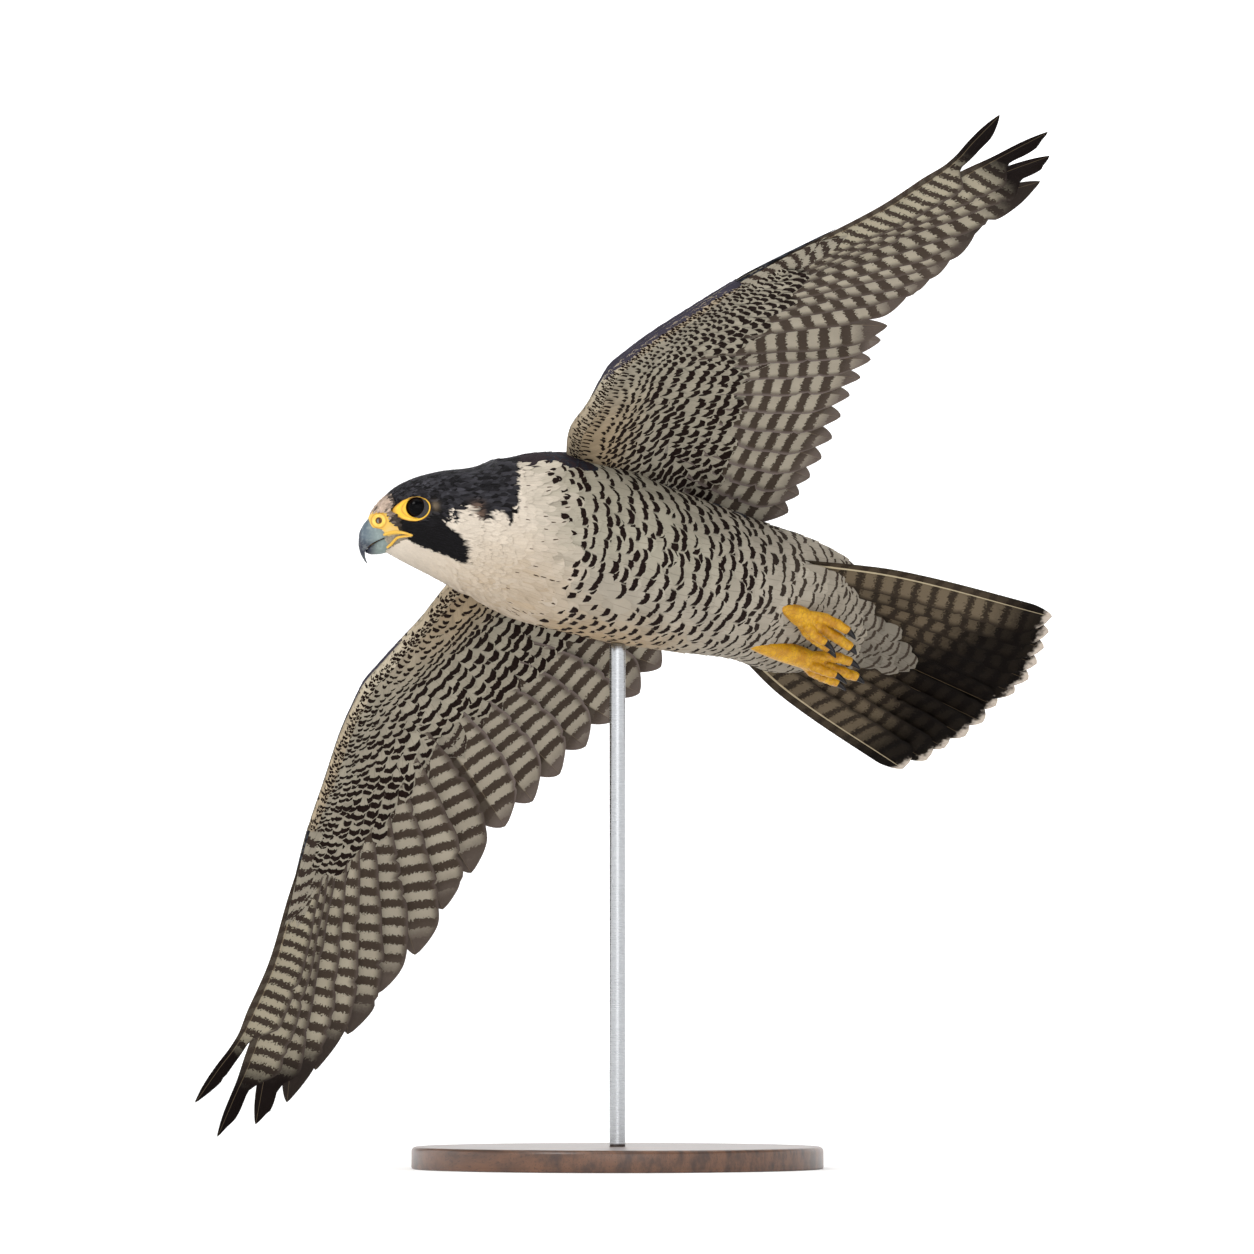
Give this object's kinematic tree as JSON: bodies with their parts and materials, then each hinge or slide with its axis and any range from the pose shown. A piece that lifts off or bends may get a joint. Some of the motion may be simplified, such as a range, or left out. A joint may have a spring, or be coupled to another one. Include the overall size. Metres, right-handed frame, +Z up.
{
  "type": "peregrine falcon model",
  "caption": "Life-size peregrine falcon model in banked flight with spread wings and fanned tail, held on a rod over a round base",
  "frame": {"origin": "centre of the underside of the round base", "axes": "+Z up; the bird flies towards -Y, its left wing raised towards +X and +Z and its right wing lowered towards -X"},
  "size_m": [0.71, 0.4469, 0.6371],
  "materials": {
    "plumage": "matte",
    "hood": "matte",
    "flight": "matte",
    "skin": "satin",
    "bill": "gloss",
    "eye": "polished",
    "claw": "gloss",
    "base": "satin",
    "rod": "satin"
  },
  "bodies": {
    "root": {"torso": "plumage", "neck": "plumage", "head": "hood", "cere": "skin", "bill_upper": "bill", "bill_lower": "bill", "tail": "flight", "wing_left": "flight", "wing_right": "flight", "eye_left": "eye", "eye_right": "eye", "leg_left": "plumage", "leg_right": "plumage", "foot_left": "skin", "foot_right": "skin", "claw_left_inner": "claw", "claw_left_middle": "claw", "claw_left_outer": "claw", "claw_left_hind": "claw", "claw_right_inner": "claw", "claw_right_middle": "claw", "claw_right_outer": "claw", "claw_right_hind": "claw", "stand_base": "base", "stand_rod": "rod"}
  },
  "joints": []
}
